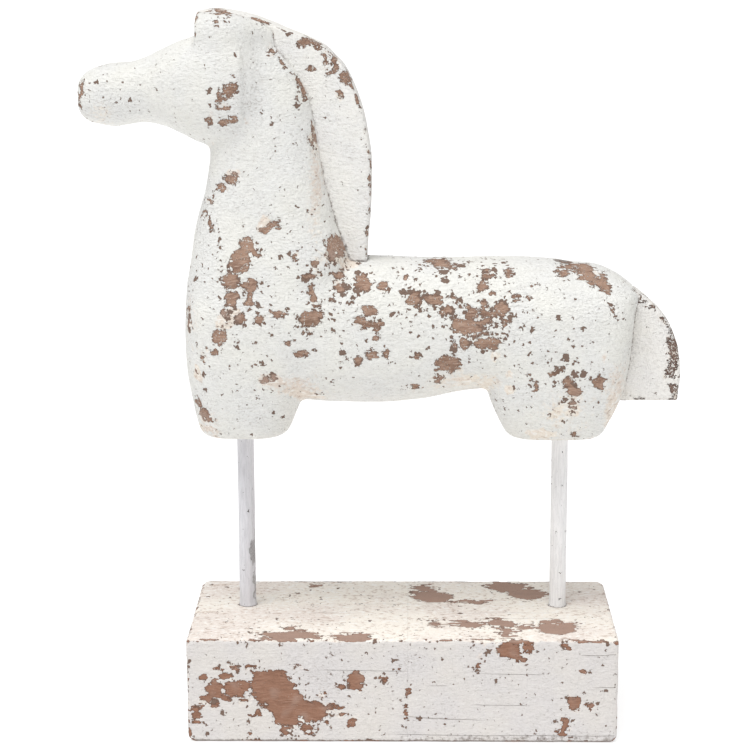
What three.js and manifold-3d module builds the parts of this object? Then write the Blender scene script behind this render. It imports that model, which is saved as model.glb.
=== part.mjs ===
// A carved wooden horse, whitewashed and worn, on two steel rods over a timber base.
// Millimetres, +Z up. The origin is the middle of the base's underside, the horse looks along -X,
// and +Y is its right-hand side. Each exported mesh is one physical piece.
import * as THREE from "three";
import { mergeVertices } from "three/addons/utils/BufferGeometryUtils.js";
import Module from "manifold-3d";

const wasm = await Module();
wasm.setup();

// ---------------------------------------------------------------- driving dimensions

const GAP = 0.3; // clearance between pieces that touch or are glued

const BASE_LENGTH = 252.5; // along X
const BASE_DEPTH = 113; // along Y
const BASE_HEIGHT = 63.5;
const BASE_CORNER = 5; // radius of the base's upright corners
const BASE_ARRIS = 1.5; // rounding of its other edges
const BASE_JOINT_X = 3; // where its two blocks are glued end to end

const DOWEL_RADIUS = 5; // hidden dowels across that joint
const DOWEL_LENGTH = 50;
const DOWEL_SPREAD = 56; // between the dowels' axes
const DOWEL_Z = 30;

const ROD_RADIUS = 5;
const ROD_SPACING = 189; // between the rods' axes
const ROD_IN_BASE = 35;
const ROD_IN_LEG = 42;
const SOLE_Z = 174; // underside of the leg stubs
const MIDDLE_Y = 9; // the horse and its rods stand a little behind the base's middle

const MANE_THICKNESS = 24;
const TAIL_THICKNESS = 24;
const BOARD_ARRIS = 2.5; // rounding along the edges of the mane and the tail

const CARVED_POWER = 0.78; // 1 leaves a carved section an ellipse, and less squares it off
const ROUND_SEGMENTS = 28; // facets round a carved section
const EDGE_STEPS = 44; // facets along the curved edge of a board
const HOLE_SEGMENTS = 28; // facets round a rod, a dowel or its hole

// ---------------------------------------------------------------- materials

const paint = new THREE.MeshStandardMaterial({ color: 0xe9e6e1, roughness: 0.75, metalness: 0 });
const rodPaint = new THREE.MeshStandardMaterial({ color: 0xdedddc, roughness: 0.55, metalness: 0 });
const bareWood = new THREE.MeshStandardMaterial({ color: 0xb08968, roughness: 0.8, metalness: 0 });

// ---------------------------------------------------------------- helpers

// A three.js geometry as a manifold-3d solid.
function solid(geometry) {
  const bare = geometry.index ? geometry.toNonIndexed() : geometry.clone();
  bare.deleteAttribute("normal");
  bare.deleteAttribute("uv");
  const merged = mergeVertices(bare, 1e-4);
  return new wasm.Manifold(
    new wasm.Mesh({
      numProp: 3,
      vertProperties: merged.attributes.position.array,
      triVerts: new Uint32Array(merged.index.array),
    }),
  );
}

// A manifold-3d solid as a three.js geometry.
function geometryOf(made) {
  const mesh = made.getMesh();
  const geometry = new THREE.BufferGeometry();
  geometry.setAttribute("position", new THREE.BufferAttribute(mesh.vertProperties.slice(), 3));
  geometry.setIndex(new THREE.BufferAttribute(mesh.triVerts.slice(), 1));
  geometry.computeVertexNormals();
  return geometry;
}

// A signed power, which squares off a circle's sine or cosine.
function squared(value, power) {
  return Math.sign(value) * Math.abs(value) ** power;
}

// A carved form through the rows of a table: [along, low, high, half width]. Each section is a rounded
// oblong, low to high one way and MIDDLE_Y plus or minus the half width the other. The form runs
// along X or along Z, and a cylinder's rings are moved onto the sections.
function carved(rows, axis) {
  const geometry = new THREE.CylinderGeometry(1, 1, 1, ROUND_SEGMENTS, rows.length - 1);
  const position = geometry.attributes.position;
  const point = new THREE.Vector3();
  for (let i = 0; i < position.count; i++) {
    point.fromBufferAttribute(position, i);
    const [along, low, high, halfWidth] = rows[Math.round((point.y + 0.5) * (rows.length - 1))];
    const across = (low + high) / 2 + ((high - low) / 2) * squared(point.x, CARVED_POWER);
    const sideways = halfWidth * squared(point.z, CARVED_POWER);
    if (axis === "z") position.setXYZ(i, across, MIDDLE_Y - sideways, along);
    else position.setXYZ(i, along, MIDDLE_Y + sideways, across);
  }
  return solid(geometry);
}

// A closed outline in the XZ plane: corners are [x, z], or [x, z, radius] where the corner is rounded.
function outline(corners) {
  const shape = new THREE.Shape();
  corners.forEach(([x, z, radius = 0], i) => {
    const here = new THREE.Vector2(x, z);
    const towards = ([nx, nz]) => new THREE.Vector2(nx, nz).sub(here).setLength(radius).add(here);
    const enter = towards(corners.at(i - 1));
    const leave = towards(corners[(i + 1) % corners.length]);
    if (i === 0) shape.moveTo(enter.x, enter.y);
    else shape.lineTo(enter.x, enter.y);
    if (radius > 0) shape.quadraticCurveTo(x, z, leave.x, leave.y);
  });
  shape.closePath();
  return shape;
}

// A board of a shape in the XZ plane, centred on MIDDLE_Y, with its edges rounded by arris.
function board(shape, thickness, arris = 0, curveSegments = 6) {
  const geometry = new THREE.ExtrudeGeometry(shape, {
    depth: thickness - 2 * arris,
    bevelEnabled: arris > 0,
    bevelThickness: arris,
    bevelSize: arris,
    bevelOffset: -arris,
    bevelSegments: 2,
    curveSegments,
  });
  geometry.rotateX(Math.PI / 2);
  geometry.translate(0, MIDDLE_Y + thickness / 2 - arris, 0);
  return solid(geometry);
}

// An upright round bar from one height to another.
function upright(radius, x, y, low, high) {
  const geometry = new THREE.CylinderGeometry(radius, radius, high - low, HOLE_SEGMENTS);
  geometry.rotateX(Math.PI / 2);
  geometry.translate(x, y, (low + high) / 2);
  return solid(geometry);
}

// A round bar along X, centred on the base's glued joint.
function dowel(radius, length, y) {
  const geometry = new THREE.CylinderGeometry(radius, radius, length, HOLE_SEGMENTS);
  geometry.rotateZ(Math.PI / 2);
  geometry.translate(BASE_JOINT_X, y, DOWEL_Z);
  return solid(geometry);
}

function box(low, high) {
  const geometry = new THREE.BoxGeometry(high[0] - low[0], high[1] - low[1], high[2] - low[2]);
  geometry.translate((low[0] + high[0]) / 2, (low[1] + high[1]) / 2, (low[2] + high[2]) / 2);
  return solid(geometry);
}

// ---------------------------------------------------------------- the carved body

// Neck, shoulder and front leg stub, from the sole up: [z, chest x, nape x, half width].
const FORE_SECTIONS = [
  [SOLE_Z, -117.5, -72, 24],
  [176.5, -120, -68.5, 28],
  [184, -122.5, -64, 31],
  [194, -124.8, -60, 33.5],
  [210, -127.5, -54, 37],
  [228, -128.6, -46, 39],
  [246, -128.3, -38, 39.5],
  [262, -127, -32, 39],
  [276, -125, -28, 37.5],
  [288, -123, -31, 35],
  [303, -120.3, -38.5, 32],
  [323, -114.2, -43.5, 29],
  [341, -112.5, -46.5, 27],
  [360, -112, -49.5, 25.5],
  [376, -112, -53, 24.5],
  [390, -110, -61, 23],
  [400, -106, -70, 21],
  [408, -102, -80, 17],
];

// Thigh, rump and rear leg stub, from the sole up: [z, front x, rear x, half width].
const HIND_SECTIONS = [
  [SOLE_Z, 67, 115, 24],
  [176.5, 62.5, 118.6, 28],
  [184, 57, 123.4, 31.5],
  [194, 52, 128.2, 34.5],
  [206, 48, 132, 37],
  [222, 48, 134.6, 39],
  [238, 50, 136, 39],
  [250, 55, 137.6, 37],
  [256, 60, 138.4, 34.5],
  [260, 64.5, 137.2, 32],
  [264, 71, 132.6, 28.5],
  [268, 79, 126.8, 23.5],
  [272, 88, 119, 17],
  [275.5, 97, 111, 9],
];

// Barrel from the chest to the rump: [x, belly z, back z, half width].
const BARREL_SECTIONS = [
  [-116, 218, 262, 27],
  [-104, 206, 273, 34],
  [-84, 198, 278.5, 38],
  [-62, 194, 279, 38.5],
  [-36, 192.3, 279, 38.5],
  [-10, 192.3, 278, 38.5],
  [12, 194.7, 277.5, 38],
  [34, 199.2, 277.4, 38],
  [56, 201, 277.8, 38.5],
  [78, 201, 277.4, 39],
  [98, 203, 275.6, 37.5],
  [112, 208, 271, 33],
  [124, 216, 262, 25],
];

// Head from the muzzle to the back of the cheek: [x, jaw z, brow z, half width].
const HEAD_SECTIONS = [
  [-187.5, 370, 379, 9],
  [-186, 365.5, 382.5, 14],
  [-182, 360.5, 388, 17.5],
  [-176, 357.7, 391.2, 19.5],
  [-167, 356.5, 393, 20.5],
  [-158, 357.5, 393.2, 21],
  [-149, 359, 396.5, 21.5],
  [-139, 357, 401.5, 23.5],
  [-129, 352.5, 405.8, 26],
  [-119, 347.5, 409, 28],
  [-108, 344.5, 411, 29.5],
  [-98, 346, 412, 29.5],
  [-93, 348.5, 412, 29.5],
  [-91, 350, 411.5, 28.5],
  [-86, 354, 408, 26],
  [-80.5, 361, 399, 22.5],
  [-77.5, 367, 392, 20.5],
];

// Forelock: the thick front of the crest, thinning back into the mane: [x, low z, crest z, half width].
const CREST_SECTIONS = [
  [-118.5, 386, 421.8, 23],
  [-108, 386, 422.2, 25.5],
  [-98, 388, 421, 27],
  [-93, 390, 420.2, 27],
  [-91, 391, 419.6, 25.5],
  [-86, 393, 418.2, 20],
  [-80, 396, 416.2, 15],
  [-74, 398, 413.8, 12],
];

// ---------------------------------------------------------------- mane and tail boards

// Crest of the mane, from the forelock over the poll to the withers.
const MANE_EDGE = [
  [-118.5, 422.4],
  [-108, 424],
  [-98, 422.6],
  [-86, 420],
  [-76, 416.4],
  [-64, 411.2],
  [-55, 407.8],
  [-46, 403.2],
  [-39, 397],
  [-32, 388.6],
  [-24, 369],
  [-19, 345],
  [-17.8, 328],
  [-18.6, 306],
  [-20.3, 288],
  [-21, 270],
];

// Inner edge of the mane's board, let into the nape: the foot of its groove.
const MANE_ROOT = [
  [-38, 270],
  [-51, 303],
  [-57, 340],
  [-61, 364],
  [-71, 385],
  [-90, 397],
  [-118.5, 401],
];

const TAIL_EDGE = [
  [128, 254],
  [136, 259.6],
  [142, 256.4],
  [148.4, 251],
  [154.2, 244.8],
  [158.4, 238.4],
  [161.4, 231],
  [163.2, 224],
  [164.4, 210],
  [163, 194],
];

const TAIL_ROOT = [
  [121, 194],
  [124, 222],
];

// A closed board outline: a smooth edge curve, then the root's straight runs back to its start.
// A groove is the same outline a clearance larger all round.
function boardShape(edge, root, steps, clearance = 0) {
  const curve = new THREE.SplineCurve(edge.map(([x, z]) => new THREE.Vector2(x, z)));
  const points = [...curve.getPoints(steps), ...root.map(([x, z]) => new THREE.Vector2(x, z))];
  if (clearance === 0) return new THREE.Shape(points);
  const wind = THREE.ShapeUtils.isClockWise(points) ? 1 : -1;
  const grown = points.map((point, i) => {
    const before = point.clone().sub(points.at(i - 1)).normalize();
    const after = points[(i + 1) % points.length].clone().sub(point).normalize();
    const tangent = before.add(after).normalize();
    return new THREE.Vector2(-tangent.y, tangent.x).multiplyScalar(wind * clearance).add(point);
  });
  return new THREE.Shape(grown);
}

// ---------------------------------------------------------------- pieces

const rodXs = [-ROD_SPACING / 2, ROD_SPACING / 2];
const rodFoot = BASE_HEIGHT - ROD_IN_BASE;
const rodHead = SOLE_Z + ROD_IN_LEG;
const dowelYs = [-DOWEL_SPREAD / 2, DOWEL_SPREAD / 2];

function makeBase() {
  const x = BASE_LENGTH / 2;
  const y = BASE_DEPTH / 2;
  const plan = outline([
    [-x, -y, BASE_CORNER],
    [x, -y, BASE_CORNER],
    [x, y, BASE_CORNER],
    [-x, y, BASE_CORNER],
  ]);
  const geometry = new THREE.ExtrudeGeometry(plan, {
    depth: BASE_HEIGHT - 2 * BASE_ARRIS,
    bevelThickness: BASE_ARRIS,
    bevelSize: BASE_ARRIS,
    bevelOffset: -BASE_ARRIS,
    bevelSegments: 2,
    curveSegments: 5,
  });
  geometry.translate(0, 0, BASE_ARRIS);
  let base = solid(geometry);
  for (const rodX of rodXs) {
    base = base.subtract(upright(ROD_RADIUS + GAP, rodX, MIDDLE_Y, rodFoot - GAP, BASE_HEIGHT + 1));
  }
  for (const dowelY of dowelYs) {
    base = base.subtract(dowel(DOWEL_RADIUS + GAP, DOWEL_LENGTH + 2 * GAP, dowelY));
  }
  return base;
}

function halfBase(side) {
  const far = BASE_LENGTH;
  const face = BASE_JOINT_X + (side * GAP) / 2;
  const cut = side < 0 ? box([-far, -far, -1], [face, far, far]) : box([face, -far, -1], [far, far, far]);
  return makeBase().intersect(cut);
}

function makeBody() {
  const grooves = [
    board(boardShape(MANE_EDGE, MANE_ROOT, EDGE_STEPS, GAP), MANE_THICKNESS + 2 * GAP),
    board(boardShape(TAIL_EDGE, TAIL_ROOT, EDGE_STEPS, GAP), TAIL_THICKNESS + 2 * GAP),
  ];
  let body = carved(FORE_SECTIONS, "z")
    .add(carved(HIND_SECTIONS, "z"))
    .add(carved(BARREL_SECTIONS, "x"))
    .add(carved(HEAD_SECTIONS, "x"))
    .add(carved(CREST_SECTIONS, "x"));
  for (const groove of grooves) body = body.subtract(groove);
  for (const rodX of rodXs) {
    body = body.subtract(upright(ROD_RADIUS + GAP, rodX, MIDDLE_Y, SOLE_Z - 1, rodHead + GAP));
  }
  return body;
}

const mane = board(boardShape(MANE_EDGE, MANE_ROOT, EDGE_STEPS), MANE_THICKNESS, BOARD_ARRIS);
const tail = board(boardShape(TAIL_EDGE, TAIL_ROOT, EDGE_STEPS), TAIL_THICKNESS, BOARD_ARRIS);

const horse = new THREE.Group();

function place(name, made, material) {
  const mesh = new THREE.Mesh(geometryOf(made), material);
  mesh.name = name;
  horse.add(mesh);
}

place("base_block_left", halfBase(-1), paint);
place("base_block_right", halfBase(1), paint);
dowelYs.forEach((y, i) => place(`base_dowel_${i + 1}`, dowel(DOWEL_RADIUS, DOWEL_LENGTH, y), bareWood));
place("front_rod", upright(ROD_RADIUS, rodXs[0], MIDDLE_Y, rodFoot, rodHead), rodPaint);
place("rear_rod", upright(ROD_RADIUS, rodXs[1], MIDDLE_Y, rodFoot, rodHead), rodPaint);
place("horse_body", makeBody(), paint);
place("mane", mane, paint);
place("tail", tail, paint);

export default horse;
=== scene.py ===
"""A whitewashed, worn wooden horse on two painted rods over a timber base.

Every piece is a solid form sampled on a grid, in millimetres in the shared frame, and turned into a
mesh. Each vertex then carries how far it lies inside a worn patch, how creamy and peppered its paint is
and how much painted crevice shade and grime it has, and a procedural material turns those into
whitewash, cream undercoat, bare wood and painted shade in the crevices.
"""
import math
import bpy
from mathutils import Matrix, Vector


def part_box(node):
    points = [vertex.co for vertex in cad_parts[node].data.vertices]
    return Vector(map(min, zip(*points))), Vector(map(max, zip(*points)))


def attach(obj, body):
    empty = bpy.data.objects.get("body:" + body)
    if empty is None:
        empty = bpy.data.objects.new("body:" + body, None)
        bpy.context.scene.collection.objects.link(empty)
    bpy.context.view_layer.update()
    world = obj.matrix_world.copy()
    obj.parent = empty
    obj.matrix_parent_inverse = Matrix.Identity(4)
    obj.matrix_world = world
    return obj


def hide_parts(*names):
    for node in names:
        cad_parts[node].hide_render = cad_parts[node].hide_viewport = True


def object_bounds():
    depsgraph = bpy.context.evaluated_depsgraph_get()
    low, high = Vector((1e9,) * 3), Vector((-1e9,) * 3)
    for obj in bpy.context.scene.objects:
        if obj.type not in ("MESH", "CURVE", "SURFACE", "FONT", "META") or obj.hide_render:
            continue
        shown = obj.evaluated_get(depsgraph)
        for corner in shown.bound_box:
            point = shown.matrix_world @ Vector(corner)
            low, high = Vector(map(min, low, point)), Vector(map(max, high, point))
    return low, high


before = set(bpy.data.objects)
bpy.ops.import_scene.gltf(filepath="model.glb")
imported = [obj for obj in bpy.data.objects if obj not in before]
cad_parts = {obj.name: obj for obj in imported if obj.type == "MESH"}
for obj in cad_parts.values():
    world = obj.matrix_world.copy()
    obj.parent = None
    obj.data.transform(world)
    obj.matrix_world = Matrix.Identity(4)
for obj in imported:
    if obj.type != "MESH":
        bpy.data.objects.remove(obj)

from types import SimpleNamespace

import bmesh
import bpy
import numpy as np

MM = 0.001
CAD_BOUNDS = [list(corner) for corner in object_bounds()]

# ------------------------------------------------------------------ places taken from the frame, in mm


def box(node):
    """A CAD node's lowest and highest corners, in millimetres."""
    return tuple(np.array(corner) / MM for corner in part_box(node))


body_low, body_high = box("horse_body")
mane_low, mane_high = box("mane")
tail_low, tail_high = box("tail")
rod_boxes = {name: box(name) for name in ("front_rod", "rear_rod")}
dowel_boxes = {name: box(name) for name in ("base_dowel_1", "base_dowel_2")}
base_low = box("base_block_left")[0]
base_high = box("base_block_right")[1]
joint_x = (box("base_block_left")[1][0] + box("base_block_right")[0][0]) / 2
middle_y = (body_low[1] + body_high[1]) / 2
rods = {name: ((low + high) / 2, (high[0] - low[0]) / 2) for name, (low, high) in rod_boxes.items()}
sole_z = body_low[2]
base_top = base_high[2]

# ------------------------------------------------------------------ noise

rng = np.random.default_rng(7)
GRADIENTS = rng.normal(size=(256, 3))
GRADIENTS /= np.linalg.norm(GRADIENTS, axis=1, keepdims=True)
SHUFFLE = rng.permutation(256)


def noise(points, size, seed=0):
    """Smooth noise of about -1 to 1 at each point, with lumps about size mm across."""
    scaled = points / size + seed * 17.31
    cell = np.floor(scaled).astype(int)
    inner = scaled - cell
    fade = inner**3 * (inner * (inner * 6 - 15) + 10)
    total = np.zeros(len(points))
    for corner in np.ndindex(2, 2, 2):
        i, j, k = ((cell + corner) & 255).T
        pick = GRADIENTS[SHUFFLE[(SHUFFLE[(SHUFFLE[i] + j) & 255] + k) & 255]]
        weight = np.prod(np.where(corner, fade, 1 - fade), axis=1)
        total += weight * ((inner - corner) * pick).sum(axis=1)
    return total * 1.6


def rough_noise(points, size, seed=0, octaves=3):
    """Noise with finer noise on it, each octave half the size and half the height of the last."""
    return sum(noise(points, size / 2**n, seed + n) / 2**n for n in range(octaves))


# ------------------------------------------------------------------ solid forms, negative inside


class Space:
    """A grid of sample points round a box, as three thin arrays that broadcast against each other."""

    def __init__(self, low, high, step, margin=4):
        self.step = step
        self.low = np.array(low) - margin
        counts = np.ceil((np.array(high) + margin - self.low) / step).astype(int) + 1
        axes = [start + step * np.arange(count) for start, count in zip(self.low, counts)]
        self.x, self.y, self.z = np.meshgrid(*axes, indexing="ij", sparse=True)


def blend(a, b, radius):
    """The union of two forms with a soft fillet between them."""
    share = np.clip(0.5 + (b - a) / (2 * radius), 0, 1)
    return b + (a - b) * share - radius * share * (1 - share)


def overlap(a, b, radius):
    """The part that two forms share, with its edge rounded."""
    return -blend(-a, -b, radius)


def through(at, knots, values):
    """Values on a smooth curve through the rows of a table."""
    slopes = np.gradient(values, knots)
    i = np.clip(np.searchsorted(knots, at) - 1, 0, len(knots) - 2)
    span = knots[i + 1] - knots[i]
    s = np.clip((at - knots[i]) / span, 0, 1)
    start = (1 + 2 * s) * values[i] + s * span * slopes[i]
    end = (3 - 2 * s) * values[i + 1] - (1 - s) * span * slopes[i + 1]
    return (1 - s) ** 2 * start + s**2 * end


def lofted(along, across, side, rows, power, end_radius):
    """A form through a table of sections: place along it, its two edges across it, its half width.
    Power 2 makes each section an ellipse, and more squares it off."""
    knots, low, high, half = np.array(rows, float).T
    low, high, half = (through(along, knots, column) for column in (low, high, half))
    reach = (high - low) / 2
    around = np.abs((across - low) / reach - 1) ** power + np.abs(side / half) ** power
    skin = (around ** (1 / power) - 1) * np.minimum(reach, half)
    ends = np.maximum(knots[0] - along, along - knots[-1])
    return overlap(skin, ends, end_radius)


def outline_distance(x, z, corners):
    """Distance from a closed outline in the XZ plane, negative inside it."""
    nearest = np.full(np.broadcast(x, z).shape, 1e9)
    inside = np.zeros(nearest.shape, bool)
    for (x0, z0), (x1, z1) in zip(corners, np.roll(corners, -1, axis=0)):
        dx, dz = x1 - x0, z1 - z0
        s = np.clip(((x - x0) * dx + (z - z0) * dz) / (dx**2 + dz**2), 0, 1)
        nearest = np.minimum(nearest, (x - x0 - s * dx) ** 2 + (z - z0 - s * dz) ** 2)
        if z0 != z1:
            inside ^= ((z0 <= z) != (z1 <= z)) & (x < x0 + (z - z0) / (z1 - z0) * dx)
    return np.where(inside, -1, 1) * np.sqrt(nearest)


def round_edge(a, b, radius):
    """Where two flat-sided forms overlap, with a true round of that radius along their edge."""
    a, b = a + radius, b + radius
    return np.minimum(np.maximum(a, b), 0) + np.hypot(np.maximum(a, 0), np.maximum(b, 0)) - radius


def bar(u, v, along, radius, low, high):
    """A straight round bar, from the two distances off its axis and the place along it."""
    return np.maximum(np.hypot(u, v) - radius, np.maximum(low - along, along - high))


def surface(space, field):
    """Vertices and quads on the zero surface of a field: one vertex in each cell that it crosses."""
    cells = np.array(field.shape) - 1
    total, count = np.zeros((cells.prod(), 3)), np.zeros(cells.prod())
    quads = []
    for axis in range(3):
        ahead, behind = [slice(None)] * 3, [slice(None)] * 3
        ahead[axis], behind[axis] = slice(1, None), slice(None, -1)
        near, far = field[tuple(behind)], field[tuple(ahead)]
        edges = np.argwhere((near < 0) != (far < 0))
        f0, f1 = near[tuple(edges.T)], far[tuple(edges.T)]
        crossing = edges.astype(float)
        crossing[:, axis] += f0 / (f0 - f1)
        u, v = (axis + 1) % 3, (axis + 2) % 3
        ring = []
        for du, dv in ((0, 0), (1, 0), (1, 1), (0, 1)):
            cell = edges.copy()
            cell[:, u] -= du
            cell[:, v] -= dv
            index = np.ravel_multi_index(cell.T, cells)
            for k in range(3):
                total[:, k] += np.bincount(index, crossing[:, k], len(total))
            count += np.bincount(index, minlength=len(count))
            ring.append(index)
        ring = np.stack(ring, axis=1)
        ring[f0 > 0] = ring[f0 > 0][:, ::-1]
        quads.append(ring)
    used = np.flatnonzero(count)
    renumber = np.zeros(len(count), int)
    renumber[used] = np.arange(len(used))
    points = space.low + space.step * total[used] / count[used, None]
    return points, renumber[np.concatenate(quads)]


# ------------------------------------------------------------------ the horse's shape, in mm

# Neck, shoulder and front leg stub, from the sole up: height, chest x, nape x, half width.
FORE = [
    (sole_z, -120, -68, 31),
    (184, -122.8, -64, 33),
    (196, -125.3, -59, 35.5),
    (212, -127.8, -53, 38),
    (230, -128.6, -46, 39.3),
    (248, -128.2, -38, 39.5),
    (264, -127, -32, 38.5),
    (280, -124.2, -31, 36.5),
    (300, -121, -37.5, 33),
    (323, -114.5, -43.5, 30),
    (341, -112.3, -46.5, 27),
    (360, -112, -49.5, 25),
    (378, -111, -54, 23.5),
    (392, -108, -62, 21.5),
    (402, -104, -72, 19),
    (409, -100, -84, 15),
]
# Thigh, rump and rear leg stub, from the sole up: height, front x, rear x, half width.
HIND = [
    (sole_z, 62, 118.5, 31),
    (184, 56.5, 123.5, 33.5),
    (196, 51.5, 129, 36),
    (210, 48.5, 132.6, 38),
    (226, 48, 134.8, 39),
    (240, 50.5, 136, 38),
    (250, 55, 137.2, 36.5),
    (256, 60, 138.2, 34),
    (260, 65, 137, 31.5),
    (264, 71, 132.4, 28),
    (268, 79, 126.6, 22.5),
    (272, 88, 118.6, 16),
    (275, 97, 110.5, 8),
]
# Barrel from the chest to the rump: x, belly, back, half width.
BARREL = [
    (-116, 218, 262, 30),
    (-104, 206, 273, 35),
    (-84, 198, 278.5, 38),
    (-62, 194.5, 279.3, 38.6),
    (-36, 192.8, 279.3, 38.5),
    (-10, 192.6, 278.4, 38.4),
    (12, 194.8, 277.8, 38.3),
    (34, 199.4, 277.6, 38.4),
    (56, 201.5, 278, 38.8),
    (78, 202, 277.6, 39),
    (98, 204, 275.2, 37.5),
    (112, 208, 270.4, 33),
    (124, 216, 261, 26),
]
# Head from the muzzle to the back of the cheek: x, jaw, brow, half width.
HEAD = [
    (-187.6, 364.5, 383.5, 15),
    (-184, 360.6, 387.2, 17.5),
    (-176, 357.6, 391, 19.8),
    (-167, 356.4, 392.8, 20.8),
    (-158, 357.6, 393.2, 21),
    (-149, 358.8, 396.2, 21.8),
    (-139, 356.6, 401.2, 24),
    (-129, 352.3, 405.6, 27),
    (-119, 347.4, 408.8, 29.5),
    (-108, 344.6, 411, 31),
    (-98, 346, 412.2, 31.4),
    (-93.4, 348.2, 412.2, 31.3),
    (-92.4, 348.8, 412, 31),
    (-91, 349.8, 411.6, 29.4),
    (-85, 354.5, 407, 25.6),
    (-79.5, 361, 399, 22),
    (-77, 367, 392, 20.5),
]
# Forelock, the thick front of the crest, thinning back into the mane: x, low z, crest, half width.
CREST = [
    (-118.5, 384, 422.6, 24),
    (-108, 384, 423, 27),
    (-99, 386, 421.9, 28),
    (-93, 388, 420.9, 26),
    (-86, 391, 419, 21.4),
    (-80, 394, 417, 17),
    (-74, 396.5, 414.6, 13),
    (-68, 398, 412, 8.6),
]
# Free edge of the mane's board, from the forelock over the poll to the withers, then its buried edge.
MANE_EDGE = [
    (-118.5, 422.4), (-108, 424), (-98, 422.6), (-86, 420), (-76, 416.4), (-64, 411.2), (-55, 407.8),
    (-46, 403.2), (-39, 397), (-32, 388.6), (-24, 369), (-19, 345), (-17.8, 328), (-18.6, 306),
    (-20.3, 288), (-21, 270),
]
MANE_ROOT = [(-38, 270), (-51, 303), (-57, 340), (-61, 364), (-71, 385), (-90, 397), (-118.5, 401)]
# Free edge of the tail's board, from the croup down, then its buried edge.
TAIL_EDGE = [
    (128, 254), (136, 259.6), (142, 256.4), (148.4, 251), (154.2, 244.8), (158.4, 238.4),
    (161.4, 231), (163.2, 224), (164.4, 210), (163, 194),
]
TAIL_ROOT = [(121, 194), (124, 222)]

# Fillets in mm. Where the legs join the barrel: heights, then the fillet there, soft only in the middle.
LEG_CREASE = ((sole_z + 24, 250, 274), (3, 9, 3))
CREST_FILLET = 4
NECK_FILLET = 3
BOARD_ARRIS = 2.2
BACK_CORNER = 6
FRONT_CORNER = 1.6
LOWER_END = 5
UPPER_END = 1.2
LONG_ARRIS = 1.3

PRESS = 0.3  # how far the mane or a rod bites into the paint at the mouth of its groove or hole
TAIL_GAP = 0.4  # the open joint round the tail
HOLE_RISE = 9  # how far the tool for a rod's hole stands above the base

# The grid's step for each kind of piece, in mm.
CARVED_STEP = 1.35
BOARD_STEP = 1.0
BASE_STEP = 1.25
ROD_STEP = 0.6


def board_outline(edge, root, steps=8):
    """A board's outline: a smooth curve through its free edge, then its buried edge."""
    edge = np.array(edge, float)
    at = np.linspace(0, len(edge) - 1, (len(edge) - 1) * steps + 1)
    knots = np.arange(len(edge), dtype=float)
    curve = np.stack([through(at, knots, column) for column in edge.T], axis=1)
    return np.concatenate([curve, np.array(root, float)])


def board_field(space, edge, root, thickness, arris):
    """A flat board standing in the XZ plane, with rounded edges."""
    profile = outline_distance(space.x, space.z, board_outline(edge, root))
    return round_edge(profile, np.abs(space.y - middle_y) - thickness / 2, arris)


def at_points(points):
    """Scattered points, seen as a space that the fields can be read at."""
    return SimpleNamespace(x=points[:, 0], y=points[:, 1], z=points[:, 2])


def horse_field(space):
    """The carved body, with the boards' grooves and the rods' holes in it."""
    x, z, side = space.x, space.z, space.y - middle_y
    fore = lofted(z, x, side, FORE, power=2.9, end_radius=5)
    hind = lofted(z, x, side, HIND, power=3.8, end_radius=4)
    barrel = lofted(x, z, side, BARREL, power=2.5, end_radius=5)
    head = lofted(x, z, side, HEAD, power=2.5, end_radius=2.5)
    crest = lofted(x, z, side, CREST, power=4, end_radius=1.2)
    crease = np.interp(z, *LEG_CREASE)
    body = blend(blend(barrel, fore, crease), hind, crease)
    body = blend(body, blend(head, crest, CREST_FILLET), NECK_FILLET)
    mane = board_field(space, MANE_EDGE, MANE_ROOT, mane_high[1] - mane_low[1], BOARD_ARRIS)
    tail = board_field(space, TAIL_EDGE, TAIL_ROOT, tail_high[1] - tail_low[1], BOARD_ARRIS)
    body = np.maximum(body, -np.minimum(mane + PRESS, tail - TAIL_GAP))
    for name, (centre, radius) in rods.items():
        top = rod_boxes[name][1][2] + PRESS
        hole = bar(x - centre[0], side + middle_y - centre[1], z, radius + PRESS, 0, top)
        body = np.maximum(body, -hole)
    return body


def rod_distance(points):
    """How far points lie from the side of the nearer rod."""
    return np.minimum(*(np.hypot(points[:, 0] - centre[0], points[:, 1] - centre[1]) - radius
                        for centre, radius in rods.values()))


def base_field(space):
    """The two glued blocks as one: worn arrises, rounded back corners and rounded lower corners."""
    half = (base_high - base_low) / 2
    centre = (base_high + base_low) / 2
    x, y, z = np.abs(space.x - centre[0]) - half[0], space.y - centre[1], space.z
    wall = np.abs(y) - half[1]
    plan = np.where(y > 0, round_edge(x, wall, BACK_CORNER), round_edge(x, wall, FRONT_CORNER))
    flat = np.abs(z - centre[2]) - half[2]
    lengthwise = np.where(z < centre[2], round_edge(x, flat, LOWER_END), round_edge(x, flat, UPPER_END))
    block = np.maximum(round_edge(plan, flat, LONG_ARRIS), lengthwise)
    for name, (at, radius) in rods.items():
        bottom, top = rod_boxes[name][0][2] - PRESS, base_top + HOLE_RISE
        hole = bar(space.x - at[0], space.y - at[1], z, radius + PRESS, bottom, top)
        block = np.maximum(block, -hole)
    for low, high in dowel_boxes.values():
        at, radius = (low + high) / 2, (high[2] - low[2]) / 2
        hole = bar(space.y - at[1], z - at[2], space.x, radius + PRESS, low[0] - PRESS, high[0] + PRESS)
        block = np.maximum(block, -hole)
    return block


# ------------------------------------------------------------------ where the paint is worn

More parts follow.
